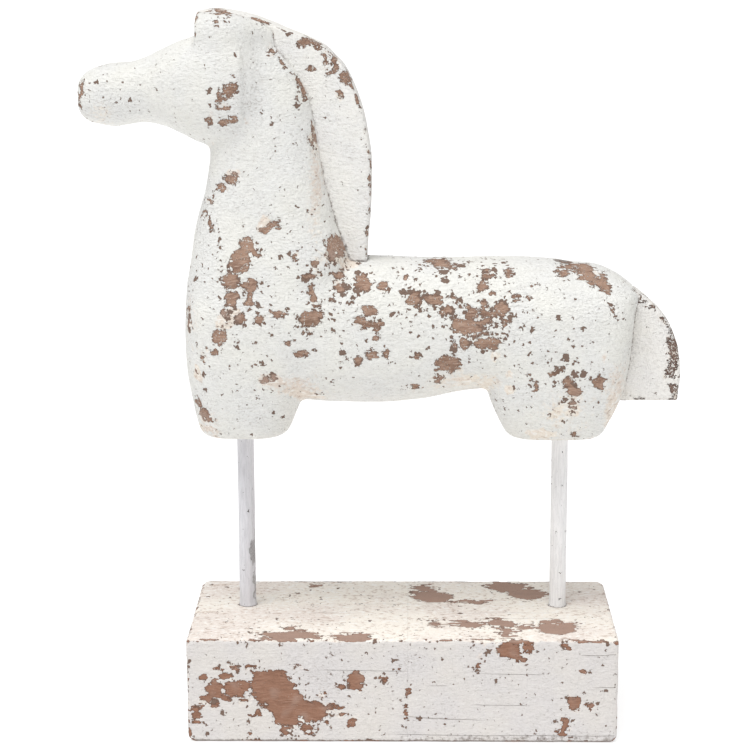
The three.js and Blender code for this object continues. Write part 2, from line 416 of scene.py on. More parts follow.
# Patches on the side that the photograph shows: x, z, half length, half height, and a tilt in degrees
# where it isn't level.
HEAD_PATCHES = [
    (-97, 380, 5, 4.5), (-104, 376, 3, 4.5), (-101, 370, 4, 2), (-96, 363, 2, 2),
    (-110, 362, 1.5, 3), (-101, 361, 2.5, 1.2), (-96, 388, 2.3, 1.4, -20),
    (-185, 379, 1.3, 4), (-186, 373, 1.2, 4), (-76, 400, 2, 2.5), (-106, 422.5, 3, 0.4, -5),
    (-107, 418, 1.4, 1.6), (-99, 419, 0.8, 1.4, 30),
]
NECK_PATCHES = [
    (-68, 394, 3.5, 1.3, -35), (-58, 380, 8, 1.6, -65), (-60, 374, 1.5, 3), (-51, 352, 1.8, 5),
    (-99, 328, 5, 2), (-104, 323, 3, 2.3, 20), (-110, 316, 4.5, 1.5, 45), (-114, 308, 3, 1, 65),
    (-110, 302, 4, 1.4, -70), (-76, 302, 6, 2.3, 35), (-71, 300, 1.5, 1.5),
]
CHEST_PATCHES = [
    (-89, 291, 5, 5), (-93, 281, 6.5, 7), (-99, 270, 5, 5), (-98, 261, 3.5, 3.5),
    (-91, 268, 3.5, 2), (-87, 266, 2.5, 7.5), (-84, 285, 2, 2.5), (-89, 258, 2.5, 2.5),
    (-82, 257, 1.7, 1.4), (-83, 248, 3.2, 3), (-93, 250, 3.5, 3.5), (-102, 253, 2.6, 3),
    (-106, 238, 4.6, 5), (-110, 229, 3, 2.6), (-116, 225, 1.3, 3), (-125, 247, 1.3, 5),
    (-72, 252, 5, 2.3), (-66, 235, 3.2, 1.7), (-59, 228, 4, 2), (-75, 214, 2, 2.2),
    (-80, 212, 1.6, 1.6), (-85, 222, 2, 1, 25), (-120, 195, 1.8, 4), (-117, 190, 5, 2.7, -50),
    (-113, 186, 2.4, 1.8),
]
WITHERS_PATCHES = [
    (-37, 289, 8.5, 4.2, -32), (-41, 287, 3, 5), (-30, 285.5, 5, 2.2, -28), (-36, 285, 4, 2.5),
    (-62, 285, 1.3, 2.3), (-51, 280, 2, 2),
    (-52, 273, 4, 2), (-52, 262, 2, 5.2), (-53, 249, 8, 5.2, 20), (-55, 242, 3.5, 1.7),
    (-37, 272, 3, 3), (-36, 266, 3, 3.2), (-41, 260, 2, 2.3), (-23, 268, 5, 4, -30),
    (-27, 259, 1.7, 2.3), (-20, 253, 4.6, 3, -25), (-11, 266, 3, 2.6),
]
BARREL_PATCHES = [
    (-19, 245, 7, 3, 5), (-15, 239, 4.6, 2, 70), (-25, 247, 5, 2.3, -15), (-12, 247, 2.6, 2),
    (-17, 227, 3.5, 3.5), (-25, 224, 3, 2.6), (-9, 228, 1.3, 2.2), (-33, 227, 1.7, 2),
    (-37, 222, 1.7, 1.5), (2, 271, 3.2, 1.7), (6, 259, 4, 4), (18, 259, 5.2, 2.3, -10),
    (26, 252, 4.3, 3.8), (37, 244, 10, 5, -10), (49, 235, 8.7, 3.8, -8), (36, 234, 3, 3.2),
    (30, 234, 1.7, 2.3), (38, 256, 3.2, 1.7), (40, 252, 3.7, 3), (47, 255, 2.3, 4.6),
    (57, 254, 4.3, 3.7), (48, 248, 4.3, 2.6), (59, 247, 2.3, 2.6), (51, 251, 3, 2.3),
    (46, 267, 3.5, 3.5), (49, 273, 3.2, 1.5), (62, 273, 3.2, 2), (64, 261, 3.5, 2.6),
    (73, 267, 2.6, 1.5), (73, 260, 1.7, 1.5), (52, 263, 1.7, 1.7), (30, 260, 2.3, 1.7),
    (22, 277, 6.5, 1.5, -5), (27, 222, 7, 5.2), (21, 213, 1.7, 3.5), (7, 207, 2.3, 1.4, -15),
    (9, 226, 2, 2.4),
]
RUMP_PATCHES = [
    (99, 276, 5.5, 2, -12), (108, 272, 7.6, 4, -28), (116, 267, 5.5, 4, -42), (93, 273, 3.8, 2.3),
    (119, 262, 3, 2.2, -45),
    (88, 217, 4.3, 1.4, 10), (96, 211, 2.6, 3), (100, 206, 3.8, 4), (100, 199, 1.4, 3),
    (114, 211, 3.8, 3.8), (74, 215, 1.7, 1.5), (77, 209, 1.7, 2.3), (101, 179, 2, 1.5),
    (122, 253, 1.2, 2.3),
]
BODY_PATCHES = (HEAD_PATCHES + NECK_PATCHES + CHEST_PATCHES + WITHERS_PATCHES + BARREL_PATCHES
                + RUMP_PATCHES)
MANE_PATCHES = [
    (-106, 423, 4, 1.7, -10), (-57, 405, 4, 2.3, 15), (-51, 404, 3.7, 2.3, -35), (-44, 395, 5.7, 1.5, -80),
    (-39, 393, 2.3, 5.2), (-33, 385, 4, 4.6), (-36, 376, 1.7, 3.5), (-53, 390, 2.3, 2.3),
]
TAIL_PATCHES = [
    (160, 224, 3.6, 11), (159, 236, 2.6, 4.5, 20), (153.5, 243, 1.4, 4, 45), (159, 211, 3.3, 4.5),
    (160, 202, 2, 4.5), (146, 250.5, 3.4, 0.9, -38), (137, 256, 3, 0.8, -25),
]
FRONT_PATCHES = [
    (-76, 35, 14, 9.5, -8), (-68, 22, 10, 12), (-80, 28, 9, 6, -20), (-53, 19, 9, 6.5),
    (-110, 33, 5, 5), (-103, 41, 3.4, 2), (-93, 34, 4, 4.6), (-104, 27, 3, 2.6),
    (-101, 33, 4.4, 4.4), (-93, 26, 3.6, 2.4, 10), (-115, 26, 4, 2.3, 20), (-121, 18, 3.8, 5.3),
    (-108, 23, 3.5, 1.8),
    (-64, 12, 6.5, 2.4), (-56, 8, 5.3, 1.8), (-85, 18, 3.8, 2, 25), (-73, 13, 2.4, 1.8),
    (-69, 7, 2, 2.4), (-90, 5, 2, 2), (-98, 47, 3, 1.8, -40), (-89, 47, 2.3, 1.6),
    (-108, 44, 2, 1.3), (-117, 40, 2.3, 1.5, 40), (-73, 43, 3.2, 1.8), (-27, 38, 5.4, 6),
    (-36, 34, 2.2, 2), (-11, 39, 1.8, 2), (-2, 45, 1.4, 1.8), (-41, 23, 2.2, 1.4),
    (-47, 30, 2, 1.4, 20), (-44, 12, 2.2, 1.3, -30), (-62, 46, 1.8, 1.2),
    (-36, 18, 2.2, 1.4), (-30, 13, 3.8, 2.2, 45), (3, 30, 1.5, 2.3), (2, 18, 1.8, 3.5),
    (48, 63, 5.2, 1.5), (62, 58, 7.3, 5.2), (74, 59, 4.7, 3.8), (69, 52, 2.3, 2),
    (96, 60, 3, 1.7, -50), (44, 49, 3.8, 1.8, 60), (101, 25, 4.4, 4.4), (111, 23, 2.6, 2.8),
    (95, 10, 3, 4.7), (104, 44, 1.8, 1.3),
]
# Patches on the base's top, from above: x, y, half length, half depth.
TOP_PATCHES = [
    (-66, -50, 18, 9), (-66, -34, 4, 4.5), (-29, -53, 12, 8), (-55, 44, 4, 5),
    (18, 27, 11, 14), (12, 42, 6.3, 6), (64, 44, 10.6, 10), (78, 30, 11.8, 11),
    (44, 15, 7.4, 2), (20, -28, 4, 5.5), (40, -28, 10, 6.4), (59, -27, 7, 8.3),
    (61, -42, 4, 10), (71, -32, 7, 4.6), (91, -33, 13, 11.8),
]
# Where the white has rubbed down to the cream undercoat, read the same way.
CREAM_PATCHES = [
    (82, 179, 9.5, 3), (90, 193, 8, 2.3, 45), (62, 216, 2.3, 2.3), (63, 206, 3, 3),
    (53, 226, 3, 3), (37, 212, 8, 2.3), (-80, 304, 4.6, 3, 40), (-97, 332, 3.5, 2),
    (-101, 249, 8, 5, 30), (-33, 279, 8, 2.3, -20), (-76, 212, 8, 3.5, -20), (-59, 202, 12, 2.3, -15),
    (-114, 180, 7, 2.4), (-120, 215, 3, 5), (100, 193, 3.5, 2.4), (117, 226, 1.2, 3.5),
]
# Soft areas where the cream shows through, and two on the rump's rear bevel (x 123 and 126) that are painted
# shade on that facet: x, z, half length, half height, strength.
CREAM_AND_SHADE_TINTS = [
    (-50, 320, 6, 38, 0.55), (-38, 285, 16, 10, 0.4), (-66, 208, 22, 9, 0.5), (-112, 186, 14, 12, 0.4),
    (92, 192, 24, 18, 0.45), (126, 205, 9, 24, 0.6), (123, 192, 5, 20, 0.85), (40, 210, 26, 8, 0.45),
    (-174, 368, 9, 8, 0.4), (-122, 240, 8, 30, 0.3),
]
# Soft areas peppered with tiny pits: x, z, radius, density.
PEPPERED = [
    (-172, 372, 14, 0.2), (-88, 200, 20, 0.18), (-50, 345, 16, 0.2), (45, 250, 26, 0.65),
    (-90, 262, 26, 0.45), (-40, 265, 24, 0.5), (85, 225, 26, 0.4), (100, 208, 16, 0.45), (30, 262, 34, 0.45),
]
# Flakes on the front rod's right side: x off the rod's axis, z, half length, half height.
ROD_PATCHES = {"front_rod": [(3.8, 97, 2, 8), (4.6, 80, 0.5, 30)]}
# How far each rod's enamel is the greyer one.
ROD_GREYNESS = {"front_rod": 1.0, "rear_rod": 0.0}
# How dark the painted shade and grime in the crevice round each board is: heights, and the strength at each
# of them.
MANE_SEAM = ((300, 340, 375, 392), (0.6, 0.3, 0.5, 0))
TAIL_SEAM = ((194, 260), (0.6, 0.6))

UPRIGHT, DEPTHWAYS = 2, 1  # the axis that a list of patches is read across, besides x
RAGGED_BORDER = 4  # how far the line between the two sides' wear strays
FAR_SIDE = 12  # how far past the middle the seeded wear begins
UNWORN = -60.0  # a depth that stands for far away from any patch, in mm
FINE_LUMP = 2.6  # the finest raggedness of a patch's border
SMALLEST_CHIP = 1.2
HALO_REACH = 2.2  # how far the creamy halo reaches from a patch
PEPPER_FLOOR = 0.19  # the peppering below which no pit shows
PAINT_THICKNESS = 0.32
DENTS = ((0.22, 15, 51), (0.10, 5, 52))  # the surface's unevenness: height, size of the lumps, seed


def patch_depth(points, patches, across, seed, wobble=1.5):
    """How deep each point lies in the listed patches, in mm, with ragged borders."""
    shift_u, shift_v = (
        wobble * (noise(points, 4 * wobble, start) + 0.7 * noise(points, FINE_LUMP, start + 1))
        for start in (seed, seed + 2))
    u, v = points[:, 0] + shift_u, points[:, across] + shift_v
    depth = np.full(len(points), UNWORN)
    for x, other, half_length, half_height, *tilt in patches:
        angle = math.radians(sum(tilt))
        cos, sin = math.cos(angle), math.sin(angle)
        along, up = (u - x) * cos + (v - other) * sin, (v - other) * cos - (u - x) * sin
        ring = np.hypot(along / half_length, up / half_height)
        depth = np.maximum(depth, (1 - ring) * min(half_length, half_height))
    return depth


def scattered_depth(points, groups, each, spread, biggest, seed):
    """Depth inside seeded groups of worn blobs, for the sides that the photograph doesn't show."""
    pick = np.random.default_rng(seed)
    bent = points + np.stack([4 * noise(points, 12, seed + k) + 1.8 * noise(points, 5, seed + k + 3)
                              for k in range(3)], axis=1)
    depth = np.full(len(points), UNWORN)
    for heart in points[pick.integers(len(points), size=groups)]:
        for _ in range(each):
            near = heart + pick.normal(size=3) * spread
            centre = points[np.argmin(((points - near) ** 2).sum(axis=1))]
            size = SMALLEST_CHIP + (biggest - SMALLEST_CHIP) * pick.random() ** 3
            stretch = np.array([1 + pick.random(), 0.8 + pick.random(), 0.6 + 0.6 * pick.random()]) * size
            ring = np.sqrt((((bent - centre) / stretch) ** 2).sum(axis=1))
            depth = np.maximum(depth, (1 - ring) * size)
    return depth


# ------------------------------------------------------------------ meshes


def vertex_normals(points, quads):
    """Unit normals at the vertices, from the diagonals of the faces round each."""
    a, b, c, d = (points[quads[:, k]] for k in range(4))
    facing = np.cross(c - a, d - b)
    total = np.zeros_like(points)
    for k in range(4):
        for axis in range(3):
            total[:, axis] += np.bincount(quads[:, k], facing[:, axis], len(points))
    return total / (np.linalg.norm(total, axis=1, keepdims=True) + 1e-12)


def smoothed(values, quads, rounds):
    """Values averaged over the neighbouring vertices, several times."""
    start, end = np.concatenate([quads[:, [k, (k + 1) % 4]] for k in range(4)]).T
    weight = np.bincount(start, minlength=len(values)) + np.bincount(end, minlength=len(values)) + 1.0
    values = values.reshape(len(values), -1)
    for _ in range(rounds):
        columns = []
        for column in values.T:
            total = column + np.bincount(start, column[end], len(column))
            columns.append((total + np.bincount(end, column[start], len(column))) / weight)
        values = np.stack(columns, axis=1)
    return values.squeeze()


class Skin:
    """A mesh in the making: its points and faces, how worn, creamy and peppered each point is, and how much
    painted crevice shade and grime it carries.
    """

    def __init__(self, points, quads, edge_rounds=6):
        self.points, self.quads = points, quads
        self.normals = vertex_normals(points, quads)
        self.ridge = ((points - smoothed(points, quads, edge_rounds)) * self.normals).sum(axis=1)
        self.wear = np.full(len(points), UNWORN)
        self.cream = np.zeros(len(points))
        self.pepper = np.zeros(len(points))
        self.seam = np.zeros(len(points))

    def wear_patches(self, patches, across, where, seed, wobble=1.5):
        """Add listed patches where the mask allows them."""
        depth = patch_depth(self.points, patches, across, seed, wobble)
        self.wear = np.where(where, np.maximum(self.wear, depth), self.wear)

    def wear_scatter(self, where, seed, **how):
        """Add seeded groups of worn blobs where the mask allows them."""
        depth = scattered_depth(self.points, seed=seed, **how)
        self.wear = np.where(where, np.maximum(self.wear, depth), self.wear)

    def wear_edges(self, sharp, strength, seed):
        """Rub the paint off the sharpest edges, here and there."""
        rubbed = (self.ridge - sharp) * strength + 1.5 * rough_noise(self.points, 9, seed) - 0.75
        self.wear = np.maximum(self.wear, rubbed)

    def shade_and_grime(self, distance, reach=0.8, strength=1.0):
        """Paint shade and grime into the crevice where this piece meets another, at that distance in mm."""
        self.seam = np.maximum(self.seam, strength * np.exp(-np.maximum(distance, 0) / reach))

    def soften(self, reach=6):
        """Derive the creamy halo, the peppering near patches, and the relief of paint and wood."""
        halo = np.exp(np.minimum(self.wear, 0) / HALO_REACH)
        mottle = 0.5 + 0.5 * noise(self.points, 7, 41)
        hollow = np.clip(-self.ridge * 1.6, 0, 1)
        self.cream = np.clip(self.cream + halo * mottle * 0.7 + hollow * 0.8, 0, 1)
        near = np.exp(np.minimum(self.wear, 0) / reach)
        self.pepper = np.clip(self.pepper + 0.8 * near - PEPPER_FLOOR, 0, 1)
        uneven = sum(height * noise(self.points, size, seed) for height, size, seed in DENTS)
        sunk = PAINT_THICKNESS * np.clip(self.wear / 0.8 + 0.5, 0, 1)
        self.points = self.points + self.normals * (uneven - sunk)[:, None]

    def mesh(self, name):
        """The finished mesh, inside the CAD box, with its attributes."""
        points = np.clip(self.points * MM, CAD_BOUNDS[0], CAD_BOUNDS[1])
        mesh = bpy.data.meshes.new(name)
        mesh.vertices.add(len(points))
        mesh.vertices.foreach_set("co", points.ravel())
        mesh.loops.add(self.quads.size)
        mesh.loops.foreach_set("vertex_index", self.quads.ravel())
        mesh.polygons.add(len(self.quads))
        mesh.polygons.foreach_set("loop_start", np.arange(0, self.quads.size, 4))
        mesh.update(calc_edges=True)
        mesh.polygons.foreach_set("use_smooth", np.ones(len(self.quads), bool))
        for label in ("wear", "cream", "pepper", "seam"):
            values = getattr(self, label).astype(np.float32)
            mesh.attributes.new(label, "FLOAT", "POINT").data.foreach_set("value", values)
        return mesh


def place(mesh, material, slot, *nodes):
    """Put a mesh in the scene, painted, in place of its CAD nodes."""
    piece = bpy.data.objects.new(mesh.name, mesh)
    bpy.context.scene.collection.objects.link(piece)
    mesh.materials.append(material)
    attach(piece, "root")
    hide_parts(*nodes)
    return piece


# ------------------------------------------------------------------ materials


def srgb(red, green, blue):
    """A colour given as it looks on screen, 0 to 255, as the shader wants it."""
    parts = [part / 255 for part in (red, green, blue)]
    return [part / 12.92 if part < 0.04045 else ((part + 0.055) / 1.055) ** 2.4 for part in parts] + [1]


class Paint:
    """A material's node tree, with a short call for each kind of node that it is built from."""

    def __init__(self, name):
        self.material = bpy.data.materials.new(name)
        self.material.use_nodes = True
        self.tree = self.material.node_tree
        self.shader = self.tree.nodes["Principled BSDF"]
        self.place = self.scaled(self.node("ShaderNodeTexCoord").outputs["Object"], (1 / MM,) * 3)

    def node(self, kind, inputs=(), **settings):
        made = self.tree.nodes.new(kind)
        for name, value in settings.items():
            setattr(made, name, value)
        for key, value in dict(inputs).items():
            self.feed(value, made.inputs[key])
        return made

    def feed(self, value, socket):
        if isinstance(value, bpy.types.NodeSocket):
            self.tree.links.new(value, socket)
        else:
            socket.default_value = value

    def math(self, operation, *values, clamp=False):
        inputs = dict(enumerate(values))
        return self.node("ShaderNodeMath", inputs, operation=operation, use_clamp=clamp).outputs[0]

    def sum(self, value, *terms):
        """A value plus some (value, factor) terms."""
        for term, factor in terms:
            value = self.math("MULTIPLY_ADD", term, factor, value)
        return value

    def scaled(self, vector, factors):
        inputs = {0: vector, 1: factors}
        return self.node("ShaderNodeVectorMath", inputs, operation="MULTIPLY").outputs[0]

    def shifted(self, vector, size, amount):
        """A place moved about by up to about amount mm, in waves about size mm long."""
        noise = self.node("ShaderNodeTexNoise", {"Vector": vector, "Scale": 1 / size, "Detail": 1})
        centred = {0: noise.outputs["Color"], 1: (0.5,) * 3}
        push = self.node("ShaderNodeVectorMath", centred, operation="SUBTRACT").outputs[0]
        inputs = {0: push, 1: (2 * amount,) * 3, 2: vector}
        return self.node("ShaderNodeVectorMath", inputs, operation="MULTIPLY_ADD").outputs[0]

    def noise(self, size, detail=2.0, rough=0.5, at=None, stretch=(1, 1, 1)):
        """Noise between about -0.5 and 0.5, in lumps about size mm across, stretched along each axis."""
        place = self.scaled(at or self.place, tuple(1 / (size * part) for part in stretch))
        inputs = {"Vector": place, "Scale": 1, "Detail": detail, "Roughness": rough}
        made = self.node("ShaderNodeTexNoise", inputs)
        return self.math("SUBTRACT", made.outputs[0], 0.5)

    def step(self, value, start, end, low=0.0, high=1.0):
        inputs = {0: value, 1: start, 2: end, 3: low, 4: high}
        return self.node("ShaderNodeMapRange", inputs, interpolation_type="SMOOTHSTEP").outputs[0]

    def pits(self, size, share, amount):
        """Round-cornered pits in a pattern of cells about size mm across, on up to a share of it."""
        bent = self.shifted(self.place, size * 0.45, size * 0.55)
        cells = self.node("ShaderNodeTexVoronoi", {"Vector": bent, "Scale": 1 / size})
        chance = self.node("ShaderNodeSeparateColor", {0: cells.outputs["Color"]}).outputs[0]
        reach = self.math("MULTIPLY", self.math("POWER", chance, 2.5), self.math("MULTIPLY", amount, share))
        return self.step(self.math("SUBTRACT", reach, cells.outputs["Distance"]), 0.04, 0.1)

    def attribute(self, name):
        return self.node("ShaderNodeAttribute", attribute_name=name).outputs["Fac"]

    def mix(self, factor, under, over):
        made = self.node("ShaderNodeMix", {"Factor": factor}, data_type="RGBA")
        self.feed(under, made.inputs[6])
        self.feed(over, made.inputs[7])
        return made.outputs[2]

    def bump(self, height, depth):
        """Relief from a height between 0 and 1, depth mm deep."""
        inputs = {"Height": height, "Distance": depth * MM, "Strength": 1}
        self.feed(self.node("ShaderNodeBump", inputs).outputs[0], self.shader.inputs["Normal"])


# Colours as they look on screen, 0 to 255.
HORSE_WHITE = (235, 234, 228)
# A painted highlight on the brush marks' ridges, and painted shade in their furrows.
BRUSH_HIGHLIGHT = (246, 245, 241)
BRUSH_FURROW_SHADE = (184, 178, 170)
PEBBLE_SHADE = (188, 184, 179)
SCUFF = (160, 151, 142)
GRIT = (186, 181, 174)
# Dark flecks, partly brown specks and partly painted shade on the crackle's shaded sides; light flecks, a
# painted highlight on its lit sides.
FLECK_AND_SHADE = (190, 169, 155)
FLECK_HIGHLIGHT = (248, 245, 240)
CREAMY_WOOD = (178, 156, 144)
PIT_WOOD = (128, 108, 96)
CRACK = (140, 130, 124)
# Painted shade and grime in the crevices where pieces meet.
CREVICE_SHADE_AND_GRIME = (112, 98, 90)

CRACK_SPACING = 10
WHITEWASH_RELIEF = 1.2
ROD_RELIEF = 0.35
DOWEL_RELIEF = 0.2


def wood_colour(paint, dark, middle, light, grain):
    """Bare wood with dark and light streaks along its grain."""
    wavy = paint.shifted(paint.place, 18, 2.5)
    streaks = paint.noise(0.8, 3, 0.7, at=wavy, stretch=grain)
    bands = paint.noise(7, 2, at=wavy, stretch=grain)
    colour = paint.mix(paint.step(paint.sum(streaks, (bands, 0.7)), -0.25, 0.1), dark, middle)
    return paint.mix(paint.step(streaks, 0.03, 0.25, 0, 0.8), colour, light), streaks


def bare_parts(paint, ragged, crumbs):
    """Where the paint is gone: in ragged patches with crumbs of paint left in them, and in pits.
    Gives both together, the pits alone, and the depth inside the patches' borders."""
    wear = paint.attribute("wear")
    pepper = paint.attribute("pepper")
    lobes = paint.noise(5, 2, 0.5)
    fingers = paint.noise(2.4, 2, 0.5, stretch=(4.5, 1, 1))
    fingers = paint.math("MULTIPLY", fingers, paint.attribute("cream"))
    fine = paint.noise(0.8, 2, 0.6)
    border = paint.sum(wear, (lobes, 4.5), (ragged, 4.2), (fine, 1.8), (fingers, 14))
    patch = paint.step(border, -0.05, 0.12)
    islands = paint.step(paint.sum(fine, (ragged, 0.7)), crumbs, crumbs + 0.07)
    left_over = paint.math("MULTIPLY", islands, paint.step(wear, 1, 7, 1, 0.25))
    patch = paint.math("SUBTRACT", patch, left_over, clamp=True)
    pits = paint.math("MAXIMUM", paint.pits(5, 0.95, pepper), paint.pits(2.6, 0.85, pepper))
    return paint.math("MAXIMUM", patch, pits), pits, border


def worn_wood(paint, wood, figure, grain, pits, border):
    """The wood in the patches: paler under cream, dark along a patch's rim as painted shade of the paint's
    edge, and dark in lone pits.
    """
    red, green, blue = wood
    dark = srgb(red * (1 - 0.22 * figure), green * (1 - 0.25 * figure), blue * (1 - 0.27 * figure))
    light = srgb(red + 34 * figure, green + 42 * figure, blue + 46 * figure)
    colour, streaks = wood_colour(paint, dark, srgb(*wood), light, grain)
    creamy = paint.step(paint.attribute("cream"), 0.5, 0.9, 0, 0.55)
    colour = paint.mix(creamy, colour, srgb(*CREAMY_WOOD))
    # Painted shade along the patch's rim, where the paint's edge would shade the wood.
    rim = paint.step(border, 0.1, 1.1, 0.75, 0)
    colour = paint.mix(rim, colour, srgb(red * 0.62, green * 0.6, blue * 0.6))
    lone_pit = paint.math("MULTIPLY", pits, paint.step(border, -0.6, 0, 0.85, 0))
    return paint.mix(lone_pit, colour, srgb(*PIT_WOOD)), streaks


def top_coat(paint, white, strokes, upright, wavy, clouds):
    """White paint with brush marks, pebbles, scuffed ticks and grit, and the relief that they make, with a
    painted highlight on the brush ridges and painted shade in the furrows and between the pebbles.
    """
    brush = paint.noise(1.0, 3, 0.6, at=wavy, stretch=(8 / upright, 2.5, upright))
    ticks = paint.noise(0.8, 2, 0.6, at=wavy, stretch=(2.6, 1.5, 1))
    pebbles = paint.noise(1.5, 2, 0.55, stretch=(1.3, 1, 1))
    grit = paint.noise(0.55, 2, 0.6)
    cool = srgb(white[0] - 4, white[1] - 3, white[2] + 1)
    scuffs = paint.sum(ticks, (clouds, 0.6))
    colour = paint.mix(paint.step(clouds, -0.2, 0.2), srgb(*white), cool)
    # Painted highlight on the brush ridges, then painted shade in the furrows.
    colour = paint.mix(paint.step(brush, 0.05, 0.25, 0, 0.5 * strokes), colour, srgb(*BRUSH_HIGHLIGHT))
    colour = paint.mix(paint.step(brush, 0.0, -0.25, 0, 0.18 * strokes), colour, srgb(*BRUSH_FURROW_SHADE))
    colour = paint.mix(paint.step(pebbles, -0.02, -0.25, 0, 0.26 * strokes), colour, srgb(*PEBBLE_SHADE))
    colour = paint.mix(paint.step(scuffs, 0.12, 0.32, 0, 0.52), colour, srgb(*SCUFF))
    colour = paint.mix(paint.step(grit, 0.08, 0.3, 0, 0.35), colour, srgb(*GRIT))
    return colour, [(brush, strokes * 0.4), (pebbles, strokes * 1.1), (ticks, -0.3), (grit, 0.25)]


def under_coat(paint, cream, wavy, clouds):
    """Cream undercoat, pinker in places, with dark flecks that are partly brown specks and partly painted
    shade, light flecks that are a painted highlight, and the flecks' own pattern.
    """
    flecks = paint.noise(1.9, 2, 0.6, at=wavy, stretch=(1.7, 1.3, 1))
    flecks = paint.sum(flecks, (clouds, 0.2))
    pinkish = srgb(cream[0] - 11, cream[1] - 14, cream[2] - 12)
    colour = paint.mix(paint.step(paint.noise(55, 2), -0.1, 0.12), srgb(*cream), pinkish)
    # Dark flecks, partly painted shade, then light flecks as a painted highlight.
    colour = paint.mix(paint.step(flecks, 0.06, 0.18, 0, 0.7), colour, srgb(*FLECK_AND_SHADE))
    return paint.mix(paint.step(flecks, -0.04, -0.16, 0, 0.8), colour, srgb(*FLECK_HIGHLIGHT)), flecks


def long_cracks(paint, strength):
    """Fine broken cracks along the base's long sides and top, more of them low down and to the right."""
    parts = paint.node("ShaderNodeSeparateXYZ", {0: paint.place}).outputs
    across = paint.math("SUBTRACT", parts[2], parts[1])
    drift = paint.noise(40, 1, stretch=(6, 1, 1))
    wobble = paint.noise(6, 2, stretch=(4, 1, 1))
    uneven = paint.noise(13, 1, stretch=(40, 1, 1))
    rows = paint.sum(0.4, (across, 1 / CRACK_SPACING), (uneven, 1.1), (drift, 1.2), (wobble, 0.14))
    off_line = paint.math("ABSOLUTE", paint.math("SUBTRACT", paint.math("FRACT", rows), 0.5))
    line = paint.step(off_line, 0.006, 0.028, strength, 0)
    low_down = paint.step(parts[2], 0, 50, 0.1, 0)
    stretches = paint.noise(22, 1, stretch=(3, 1, 0.5))
    there = paint.step(paint.sum(stretches, (parts[0], 1 / 2500), (low_down, 1)), 0.12, 0.18)
    off_middle = paint.math("ABSOLUTE", parts[0])
    long_sides = paint.step(off_middle, base_high[0] - 2, base_high[0] - 1, 1, 0)
    return paint.math("MULTIPLY", line, paint.math("MULTIPLY", long_sides, there))


def whitewash(name, white=HORSE_WHITE, cream=(238, 229, 216), wood=(172, 141, 122), crumbs=0.13,
              cracks=0.0, strokes=1.0, upright=1, figure=1.0, grain=(9, 1, 1)):
    """Chalky white paint over a cream undercoat over wood, worn through where the attributes say.
    The lower crumbs is, the more specks of paint are left in the patches. strokes is how strong the brush
    marks are, upright above 1 stands them up, and figure is how strong the wood's pattern is."""
    paint = Paint(name)
    ragged = paint.noise(2.2, 2, 0.6)
    clouds = paint.noise(30, 3)
    wavy = paint.shifted(paint.place, 45, 4)
    bare, pits, border = bare_parts(paint, ragged, crumbs)
    bare_wood, streaks = worn_wood(paint, wood, figure, grain, pits, border)
    outer, relief = top_coat(paint, white, strokes, upright, wavy, clouds)
    inner, flecks = under_coat(paint, cream, wavy, clouds)
    # Where the cream undercoat shows: rubbed through, and painted shade on the rump's rear bevel.
    rubbed = paint.step(paint.sum(paint.attribute("cream"), (ragged, 0.9), (clouds, 0.35)), 0.36, 0.8)
    colour = paint.mix(rubbed, outer, inner)
    height = paint.sum(0.5, (bare, -0.45), *relief, (rubbed, -0.06), (flecks, -0.5),
                       (paint.math("MULTIPLY", bare, streaks), 0.5))
    if cracks:
        crack = long_cracks(paint, cracks)
        colour = paint.mix(crack, colour, srgb(*CRACK))
        height = paint.sum(height, (crack, -0.45))
    # Painted shade and grime in the crevices where pieces meet, from the seam attribute.
    crevice_shade_and_grime = paint.step(paint.sum(paint.attribute("seam"), (ragged, 1.1)), 0.35, 0.8, 0, 0.85)
    colour = paint.mix(crevice_shade_and_grime, colour, srgb(*CREVICE_SHADE_AND_GRIME))
    paint.feed(paint.mix(bare, colour, bare_wood), paint.shader.inputs["Base Color"])
    paint.feed(paint.step(bare, 0, 1, 0.6, 0.8), paint.shader.inputs["Roughness"])
    paint.shader.inputs["Specular IOR Level"].default_value = 0.35
    paint.bump(height, WHITEWASH_RELIEF)
    return paint.material


def rod_paint():
    """Grey-white brushed enamel on steel, in vertical runs, flaked to dark metal in places."""
    paint = Paint("rod_paint")
    wear = paint.attribute("wear")
    runs = paint.noise(1.1, 3, 0.6, at=paint.shifted(paint.place, 8, 0.8), stretch=(1, 1, 11))
    fine = paint.noise(0.5, 2, 0.6, stretch=(1, 1, 2.5))
    flaked = paint.step(paint.sum(wear, (runs, 2.2), (fine, 1.6)), 0.0, 0.12)
    pits = paint.pits(3.0, 0.5, paint.attribute("pepper"))
    bare = paint.math("MAXIMUM", flaked, pits)
    enamel = paint.mix(paint.step(runs, -0.25, 0.2), srgb(228, 227, 227), srgb(244, 243, 243))
    greyer = paint.mix(paint.step(runs, -0.25, 0.2), srgb(203, 202, 206), srgb(222, 221, 225))
    enamel = paint.mix(paint.attribute("cream"), enamel, greyer)
    enamel = paint.mix(paint.step(fine, 0.08, 0.3, 0, 0.4), enamel, srgb(170, 168, 168))
    metal = paint.mix(paint.step(fine, -0.1, 0.2), srgb(150, 147, 148), srgb(184, 182, 183))
    metal = paint.mix(pits, metal, srgb(70, 62, 58))
    # Painted shade and grime where the rod meets the base and the leg, from the seam attribute.
    crevice_shade_and_grime = paint.step(paint.sum(paint.attribute("seam"), (runs, 1.1)), 0.4, 0.9, 0, 0.8)
    enamel = paint.mix(crevice_shade_and_grime, enamel, srgb(110, 96, 88))
    paint.feed(paint.mix(bare, enamel, metal), paint.shader.inputs["Base Color"])
    paint.feed(paint.step(bare, 0, 1, 0.42, 0.55), paint.shader.inputs["Roughness"])
    paint.bump(paint.sum(0.5, (runs, 0.6), (fine, 0.3), (bare, -0.35)), ROD_RELIEF)
    return paint.material


